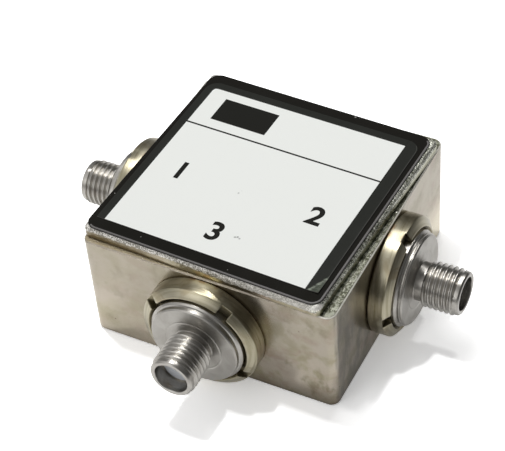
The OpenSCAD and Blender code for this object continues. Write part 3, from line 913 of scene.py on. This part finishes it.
def turned_jack(port, place):
    """A jack: rings behind the thread, the rows of the thread, and rings ahead of it back into the bore."""
    disc, out = DISCS[port]
    behind = spin(soft_run(JACK_BODY + disc + moved_out(JACK_NECK, out)), COLUMNS)
    ahead = spin(soft_run(moved_out(JACK_AHEAD, out) + JACK_BORE), COLUMNS)
    rows = thread_rows(out)
    top = len(rows) - 1
    base = len(behind)
    after = base + len(rows) * COLUMNS
    innermost = after + len(ahead) - COLUMNS

    def at(row, column):
        """A point of the thread. A whole turn farther round, the rows are a pitch farther up."""
        if column == COLUMNS:
            row, column = min(row + len(ROW_PHASES), top), 0
        return base + row * COLUMNS + column

    faces = strips(base // COLUMNS, COLUMNS) + strips(len(ahead) // COLUMNS, COLUMNS, after)
    faces += [(at(row, column), at(row, column + 1), at(row + 1, column + 1), at(row + 1, column))
              for row in range(top) for column in range(COLUMNS)]
    for low, high in ((base - COLUMNS, base), (after - COLUMNS, after), (innermost, 0)):
        faces += band(low, high, COLUMNS)
    shape = np.concatenate([behind, *rows, ahead]), faces
    return make_piece("threaded_jack_" + port, place, shape, [steel_finish], [port + "_jack"])


for port, place in ports.items():
    jack = turned_jack(port, place)
    print(jack.name, len(jack.data.polygons), "faces")

# %% [markdown]
# ## The ring nuts
# A ring nut clamps the jack from outside. Its front is bevelled, and four slots for a pin spanner cross the
# bevel. Cutting boxes out of a ring would leave ragged faces, so the slots are part of the grid: the columns
# of points run along the slot walls, which stand parallel, and inside a slot the points are held down at
# its floor. A nut stops where it happens to be tight, so each has its own turn, and its edges are worn.

# %% Build the ring nuts
NUT_PROFILE = [(6.7, 0), (8.05, 0), (NUT_RADIUS, 0.25), (NUT_RADIUS, SLOT_FLOOR), (NUT_RADIUS, BEVEL_FOOT),
               (7.25, 3.0), (7.1, 3.0), (6.7, 2.6), (6.7, SLOT_FLOOR)]
NUT_TURNS = {"rf": 86, "lo": 8, "if": 57}
SLOTS = 4
SLOT_HALF = 0.8
LAND_STEPS = 44
SLOT_STEPS = 4
EDGE_WEAR = 0.07 * MM
HARD_FOLD = 25


def nut_columns(turn):
    """For each column its points on the profile: lands between the slots stay whole, slots are cut down."""
    columns = []
    span = 2 * math.pi / SLOTS
    for s in range(SLOTS):
        middle = math.radians(turn + s * 360 / SLOTS)
        for steps, cut in ((SLOT_STEPS, True), (LAND_STEPS, False)):
            for share in (k / steps for k in range(steps + 1)):
                column = []
                for r, z in NUT_PROFILE:
                    edge = math.asin(SLOT_HALF / r)
                    slot_angle = middle - edge + 2 * edge * share
                    land_angle = middle + edge + (span - 2 * edge) * share
                    angle = slot_angle if cut else land_angle
                    top = min(z, SLOT_FLOOR) if cut else z
                    column.append((r * math.cos(angle) * MM, r * math.sin(angle) * MM, top * MM))
                columns.append(column)
    return columns


def ring_nut(port, place):
    """A ring nut with worn edges."""
    columns = nut_columns(NUT_TURNS[port])
    across = len(NUT_PROFILE)
    faces = strips(len(columns), across) + band((len(columns) - 1) * across, 0, across)
    shape = [point for column in columns for point in column], faces
    name = "slotted_ring_nut_" + port
    nut = make_piece(name, place, shape, [nut_finish], [port + "_ring_nut"])
    work = bmesh.new()
    work.from_mesh(nut.data)
    hard = [edge for edge in work.edges
            if len(edge.link_faces) == 2 and edge.calc_face_angle() > math.radians(HARD_FOLD)]
    bmesh.ops.bevel(work, geom=hard, offset=EDGE_WEAR, offset_type="OFFSET", segments=2, profile=0.6,
                    affect="EDGES", clamp_overlap=True)
    work.to_mesh(nut.data)
    work.free()
    smooth(nut.data, TURNED_FOLD)
    return nut


for port, place in ports.items():
    nut = ring_nut(port, place)
    print(nut.name, len(nut.data.polygons), "faces")

# %% [markdown]
# ## Round-cornered squares
# The cover and the film are squares with round corners. Their outline is a loop of points with a normal at
# each, so that an inset is a step against the normal. Neither is cut quite square, so each gives a function
# that moves the points a little.

# %% Draw a round-cornered outline
def outline(size, radius, step, moved):
    """Points and outward normals round a square, in metres, about a step apart. It starts front right."""
    corners = [((1, -1), -90), ((1, 1), 0), ((-1, 1), 90), ((-1, -1), 180)]
    reach = size / 2 - radius
    steps = max(3, round(radius * math.pi / 2 / step))
    points, normals = [], []
    for (corner, start), (next_corner, _) in zip(corners, corners[1:] + corners[:1]):
        for k in range(steps + 1):
            angle = math.radians(start + 90 * k / steps)
            normal = Vector((math.cos(angle), math.sin(angle)))
            points.append(Vector(corner) * reach + normal * radius)
            normals.append(normal)
        here = points[-1]
        end = Vector(next_corner) * reach + normal * radius
        count = max(1, round((end - here).length / step))
        for k in range(1, count):
            points.append(here.lerp(end, k / count))
            normals.append(normal)
    return [moved(point) for point in points], normals


def slab(border, rows):
    """The shape of a flat piece: rows of (inset, height) from its lower face to its upper one."""
    points, normals = border
    all_points = [(*(p - n * inset), height) for inset, height in rows for p, n in zip(points, normals)]
    across = len(points)
    faces = strips(len(rows), across)
    faces.append(tuple(range(across)))
    faces.append(tuple(range((len(rows) - 1) * across, len(rows) * across)))
    return all_points, faces


COVER_TURN = math.radians(-2.1)


def laid_at(centre, height):
    """Lays a shape that stands on zero at a height over a centre, askew as the cover is."""
    return Matrix.Translation((centre.x, centre.y, height)) @ Matrix.Rotation(COVER_TURN, 4, "Z")


print("cover and labels lie", round(math.degrees(COVER_TURN), 1), "degrees askew")

# %% [markdown]
# ## The cover
# The cover is a thick plate soldered onto the box, a little askew. Its upper edge was tumbled and plated
# carelessly, and glitters in the photograph as a broken line of light. So the edge gets many small faces
# that noise pushes in by a few hundredths of a millimetre.

# %% Build the cover
COVER_SIZE = 34.4 * MM
COVER_CORNER = 0.9 * MM
COVER_EDGE = 0.6 * MM
COVER_CENTRE = (cover_low + cover_high) / 2
COVER_THICK = cover_high.z - cover_low.z
FRONT_LEAN = 0.10 * MM
BACK_LEAN = 0.50 * MM
EDGE_STEP = 0.13 * MM
RIM_WIDTH = 1.8 * MM
LOWER_LIP = -0.06 * MM
LIP_WIDTH = 0.25 * MM
LIP_EDGE = 0.03 * MM
SIDE_FOOT = 0.10 * MM
SIDE_STEPS = 6
ARC_STEPS = 8
RIM_STEPS = 9
LUMP = 0.03 * MM
LUMP_LEVEL = 0.35
LUMP_GRAIN = 0.32 * MM
WIDE_LUMP_GRAIN = 0.9 * MM


def cover_rows():
    """Rows of (inset, height): round the lower lip, up the side, round the edge and in over the rim."""
    side = COVER_THICK - COVER_EDGE - SIDE_FOOT
    rows = [(LIP_WIDTH, LOWER_LIP), (LIP_EDGE, LOWER_LIP), (0, LOWER_LIP + LIP_EDGE), (0, SIDE_FOOT)]
    for k in range(1, SIDE_STEPS + 1):
        rows.append((0, SIDE_FOOT + side * k / SIDE_STEPS))
    for k in range(1, ARC_STEPS + 1):
        angle = math.pi / 2 * k / ARC_STEPS
        rows.append((COVER_EDGE * (1 - math.cos(angle)), COVER_THICK - COVER_EDGE * (1 - math.sin(angle))))
    for k in range(1, RIM_STEPS + 1):
        rows.append((COVER_EDGE + (RIM_WIDTH - COVER_EDGE) * k / RIM_STEPS, COVER_THICK))
    return rows


def toward_right(point):
    """The right edge of the cover leans out to the back."""
    lean = FRONT_LEAN + (BACK_LEAN - FRONT_LEAN) * (point.y / COVER_SIZE + 0.5)
    return point + Vector((lean * (point.x / COVER_SIZE + 0.5), 0))


cover_shape = slab(outline(COVER_SIZE, COVER_CORNER, EDGE_STEP, toward_right), cover_rows())
cover = make_piece("plated_cover", laid_at(COVER_CENTRE, cover_low.z), cover_shape, [cover_finish],
                   ["cover"], fold=FLAT_FOLD)
for vertex, normal in zip(cover.data.vertices, [v.normal.copy() for v in cover.data.vertices]):
    inset = COVER_SIZE / 2 - max(abs(vertex.co.x), abs(vertex.co.y))
    if vertex.co.z > COVER_THICK / 4 and inset < RIM_WIDTH:
        lump = noise.noise(vertex.co / LUMP_GRAIN) + 0.5 * noise.noise(vertex.co / WIDE_LUMP_GRAIN)
        vertex.co += normal * min(0, (lump - LUMP_LEVEL) * LUMP)
print(cover.name, len(cover.data.polygons), "faces")

# %% [markdown]
# ## The black film
# The lower label is black film. Its clear layer reaches a little past the black in front and at the right,
# which shows in the photograph as a silver line, with a painted shadow line along the film's cut just
# outside it. The piece is one slab, and narrow rings of faces along its edge carry those two finishes where
# the outline looks to the front or right. Each edge of the outline is drawn out by its own small length.

# %% Lay the black film
FILM_SIZE = 33.5 * MM
FILM_CORNER = 1.6 * MM
FILM_STEP = 0.25 * MM
FILM_THICK = film_high.z - cover_high.z
FILM_CENTRE = (film_low + film_high) / 2
SHADOW_LINE_MARGIN = 0.13 * MM
CLEAR_MARGIN = 0.36 * MM
BLACK_MARGIN = 1.2 * MM
FRONT_REACH = 0.44 * MM
RIGHT_REACH = 0.40 * MM
LEFT_REACH = 0.26 * MM
BACK_REACH = 0.08 * MM
FILM_ROWS = [(0, 0), (0, FILM_THICK * 0.8), (FILM_THICK * 0.2, FILM_THICK), (SHADOW_LINE_MARGIN, FILM_THICK),
             (CLEAR_MARGIN, FILM_THICK), (CLEAR_MARGIN * 1.2, FILM_THICK), (BLACK_MARGIN, FILM_THICK)]
CLEAR_RING = 3
LOOKS_FORWARD = 0.2


def drawn_out(point):
    """The clear layer reaches past the film in front, at the right and at the left front corner."""
    across_share = point.x / FILM_SIZE + 0.5
    back_share = point.y / FILM_SIZE + 0.5
    aside = RIGHT_REACH * across_share - LEFT_REACH * (1 - across_share) * (1 - back_share)
    behind = BACK_REACH * back_share * (1 - across_share) - FRONT_REACH * (1 - back_share)
    return point + Vector((aside, behind))


film_border = outline(FILM_SIZE, FILM_CORNER, FILM_STEP, drawn_out)
film_shape = slab(film_border, FILM_ROWS)
edge_normals = film_border[1]
film_finish = [0] * len(film_shape[1])
# rings that look to the front or right get the clear line and, outside it, the painted shadow line
for face in range((CLEAR_RING + 1) * len(edge_normals)):
    ring, column = divmod(face, len(edge_normals))
    normal = edge_normals[column]
    if normal.x - normal.y > LOOKS_FORWARD:
        film_finish[face] = 1 if ring == CLEAR_RING else 2
film = make_piece("black_film_label", laid_at(FILM_CENTRE, film_low.z), film_shape,
                  [black_film, clear_edge, film_edge_shadow], ["backing_label"],
                  face_finish=film_finish, fold=FLAT_FOLD)
print(film.name, round(FILM_SIZE / MM, 1), "mm square")

# %% [markdown]
# ## The printed sheet
# The upper label is a sheet with a dark border on three sides and a white panel, cut off along the panel's
# front edge. A grid of points is laid so that some of its lines are the panel's edges, and each cell takes
# the finish of where it lies. At the two back corners the outermost cells are drawn in to an arc. The front
# right corner has come unstuck and stands up a little.

# %% Lay the printed sheet
HALF_WIDTH = 32.32 * MM / 2
HALF_DEPTH = 30.2 * MM / 2
SHEET_CORNER = 1.8 * MM
SHEET_SHIFT = Vector((-0.04, 0.08, 0)) * MM
SHEET_THICK = print_high.z - film_high.z
CORNER_X = HALF_WIDTH - SHEET_CORNER
CORNER_Y = HALF_DEPTH - SHEET_CORNER
PANEL_LEFT = 1.19 * MM - HALF_WIDTH
PANEL_RIGHT = HALF_WIDTH - 1.82 * MM
PANEL_BACK = HALF_DEPTH - 1.25 * MM
# a painted highlight runs along the outermost tenth of a millimetre at the right
EDGE_HIGHLIGHT_FROM = HALF_WIDTH - 0.10 * MM
CELL = 0.4 * MM
CURL_WIDTH = 1.6 * MM
CURL_LENGTH = 2.2 * MM
CURL_RISE = 0.14 * MM
BORDER, PANEL, SIDE, EDGE_HIGHLIGHT = range(4)


def lines_between(marks):
    """Places of grid lines that include every mark, about a cell apart."""
    lines = [marks[0]]
    for start, end in zip(marks, marks[1:]):
        count = max(1, round((end - start) / CELL))
        lines += [start + (end - start) * k / count for k in range(1, count + 1)]
    return lines


def round_back(x, y):
    """Draws a point of the grid in to the arcs of the two back corners."""
    a = abs(x) - CORNER_X
    b = y - CORNER_Y
    if a <= 0 or b <= 0:
        return x, y
    shrink = max(a, b) / math.hypot(a, b)
    return math.copysign(CORNER_X + a * shrink, x), CORNER_Y + b * shrink


def curl(x, y):
    """How far the sheet has come up at a place."""
    reach = x - (HALF_WIDTH - CURL_WIDTH) - (y + HALF_DEPTH) * CURL_WIDTH / CURL_LENGTH
    return CURL_RISE * max(0, reach / CURL_WIDTH) ** 1.5


def cell_finish(x, y):
    """What the upper side of the sheet shows at a place."""
    if PANEL_LEFT < x < PANEL_RIGHT and y < PANEL_BACK:
        return PANEL
    return EDGE_HIGHLIGHT if x > EDGE_HIGHLIGHT_FROM else BORDER


xs = lines_between([-HALF_WIDTH, PANEL_LEFT, CORNER_X, PANEL_RIGHT, EDGE_HIGHLIGHT_FROM, HALF_WIDTH])
ys = lines_between([-HALF_DEPTH, CORNER_Y, PANEL_BACK, HALF_DEPTH])
nx, ny = len(xs), len(ys)
sheet_points = [(*round_back(x, y), height + curl(x, y))
                for height in (0, SHEET_THICK) for y in ys for x in xs]
sheet_faces, sheet_finish = [], []
for layer in (0, nx * ny):
    for j in range(ny - 1):
        for i in range(nx - 1):
            corner = layer + j * nx + i
            sheet_faces.append((corner, corner + 1, corner + nx + 1, corner + nx))
            shown = cell_finish((xs[i] + xs[i + 1]) / 2, (ys[j] + ys[j + 1]) / 2)
            sheet_finish.append(shown if layer else BORDER)
rim = [*range(nx), *range(2 * nx - 1, ny * nx, nx)]
rim += [*range(ny * nx - 2, (ny - 1) * nx - 1, -1), *range((ny - 2) * nx, 0, -nx)]
for a, b in zip(rim, rim[1:] + rim[:1]):
    sheet_faces.append((a, b, b + nx * ny, a + nx * ny))
    sheet_finish.append(SIDE)
sheet_place = laid_at(COVER_CENTRE + SHEET_SHIFT, film_high.z)
sheet = make_piece("printed_label_sheet", sheet_place, (sheet_points, sheet_faces),
                   [border_print, white_print, clear_edge, border_edge_highlight], ["printed_label"],
                   face_finish=sheet_finish, fold=FLAT_FOLD)
print(sheet.name, nx, "by", ny, "lines")

# %% [markdown]
# ## The print
# The panel carries a rule, a plain bar and a number beside each port. They are flat shapes of ink that lie a
# few thousandths of a millimetre above the sheet. The numbers are text turned into a mesh.

# %% Print the panel
INK_HEIGHT = SHEET_THICK + 0.006 * MM
RULE_MIDDLE = 6.15 * MM
RULE_HALF = 0.14 * MM
NUMBER_HEIGHT = 3.3 * MM
TEXT_SIZE = 1.37
BOLDNESS = 0.035
BARS = {
    "print_rule": (PANEL_LEFT, RULE_MIDDLE - RULE_HALF, PANEL_RIGHT, RULE_MIDDLE + RULE_HALF),
    "print_bar": (-12.3 * MM, 7.9 * MM, -3.9 * MM, 12.4 * MM),
}
NUMBERS = {"1": (-10.6, -3.05), "2": (9.7, -3.3), "3": (-0.75, -11.2)}


def printed(name, points, faces):
    """A flat shape of ink on the sheet."""
    return make_piece(name, sheet_place, (points, faces), [ink])


def ink_number(text, x, y):
    """A number in ink whose middle is at a place on the sheet."""
    letters = bpy.data.curves.new("number " + text, "FONT")
    letters.body = text
    letters.size = NUMBER_HEIGHT * TEXT_SIZE
    letters.offset = NUMBER_HEIGHT * BOLDNESS
    letters.align_x = "CENTER"
    letters.align_y = "CENTER"
    shape = bpy.data.objects.new("number " + text, letters)
    bpy.context.scene.collection.objects.link(shape)
    mesh = bpy.data.meshes.new_from_object(shape)
    bpy.data.objects.remove(shape)
    mesh.transform(Matrix.Translation((x, y, INK_HEIGHT)))
    points = [v.co.copy() for v in mesh.vertices]
    return printed("print_number_" + text, points, [tuple(p.vertices) for p in mesh.polygons])


for name, (left, front, right_end, back_end) in BARS.items():
    bar_points = [(x, y, INK_HEIGHT) for x, y in
                  ((left, front), (right_end, front), (right_end, back_end), (left, back_end))]
    bar = printed(name, bar_points, [(0, 1, 2, 3)])
    print(bar.name, [round(length / MM, 2) for length in bar.dimensions], "mm")
for text, (x, y) in NUMBERS.items():
    number = ink_number(text, x * MM, y * MM)
    print(number.name, len(number.data.polygons), "faces")

# %% [markdown]
# ## Finishes for the solids that stay
# The box, the insulators, the contacts and what is sealed inside keep their own meshes. Each takes the
# finish of its material slot.

# %% Give the remaining solids their finishes
slot_finishes = {"case_plate": case_finish, "stainless": steel_finish, "nut_plate": nut_finish,
                 "black_film": black_film, "label_print": white_print, **inner_finishes}
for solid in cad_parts.values():
    for holder in solid.material_slots:
        holder.material = slot_finishes[holder.material.name.split(".")[0]]
print("solids finished:", len(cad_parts))
